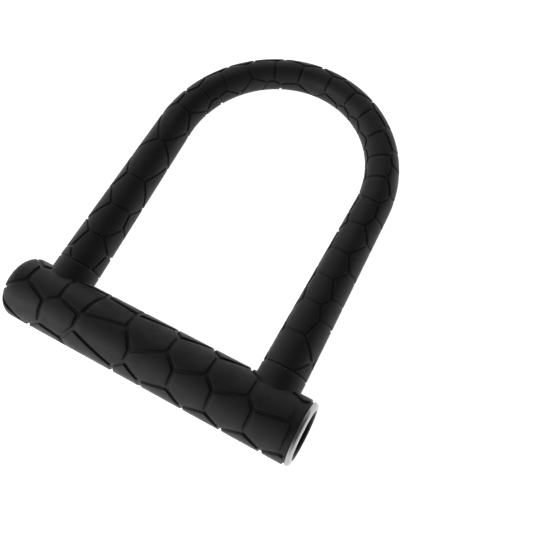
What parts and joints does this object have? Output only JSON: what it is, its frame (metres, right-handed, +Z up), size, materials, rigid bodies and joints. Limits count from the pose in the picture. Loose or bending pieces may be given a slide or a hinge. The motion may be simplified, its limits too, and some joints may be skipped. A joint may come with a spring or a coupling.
{
  "type": "u lock",
  "caption": "Bicycle U lock: a silicone-covered bent steel shackle whose feet enter a round crossbar with a recessed key end, key plug, bolt bar and keyhole shutter.",
  "frame": {"origin": "middle of the base of the closed lock's box, on the surface that the crossbar lies on", "axes": "+X along the crossbar towards the key end, +Y from the crossbar towards the bow, +Z up with the lock lying flat"},
  "size_m": [0.1924, 0.2364, 0.0378],
  "materials": {
    "silicone": "matte moulded black silicone",
    "hardened_steel": "ground hardened steel",
    "satin_zinc": "satin plated die casting",
    "black_plastic": "fine moulded texture",
    "white_nylon": "natural nylon",
    "brass": "machined",
    "spring_steel": "drawn wire"
  },
  "bodies": {
    "crossbar": {"crossbar_cover": "silicone", "crossbar_tube": "hardened_steel", "plain_end_plug": "hardened_steel", "left_foot_bushing": "black_plastic", "right_foot_bushing": "black_plastic", "end_bezel": "satin_zinc", "key_end_insert": "black_plastic", "shutter_pin": "spring_steel", "cylinder_housing": "brass", "cylinder_pin": "spring_steel", "drum_bearing": "hardened_steel", "plain_end_guide": "white_nylon", "detent_guide": "white_nylon", "detent_spring": "spring_steel", "detent_ball": "spring_steel"},
    "shackle": {"shackle_core": "hardened_steel", "shackle_sleeve": "silicone"},
    "plug": {"key_plug": "brass", "wafer_1": "brass", "wafer_2": "brass", "wafer_3": "brass", "wafer_4": "brass", "wafer_5": "brass", "plug_clip": "spring_steel", "cam_drum": "hardened_steel"},
    "bolt_bar": {"bolt_carriage": "hardened_steel", "follower_pin": "spring_steel"},
    "shutter": {"keyhole_shutter": "black_plastic"}
  },
  "joints": [
    {"name": "shackle_slide", "type": "slide", "parent": "crossbar", "child": "shackle", "axis": [0, 1, 0], "range_m": [0, 0.08]},
    {"name": "key_turn", "type": "hinge", "parent": "crossbar", "child": "plug", "pos_m": [0.07, -0.1038, 0.0189], "axis": [1, 0, 0], "range_deg": [0, 90]},
    {"name": "bolt_travel", "type": "slide", "parent": "crossbar", "child": "bolt_bar", "axis": [1, 0, 0], "range_m": [0, 0.005]},
    {"name": "shutter_swing", "type": "hinge", "parent": "crossbar", "child": "shutter", "pos_m": [0.0912, -0.0974, 0.0189], "axis": [1, 0, 0], "range_deg": [0, 100]}
  ],
  "couplings": [
    {"joint": "key_turn", "follows": "bolt_travel", "rad_per_m": 314.15}
  ]
}
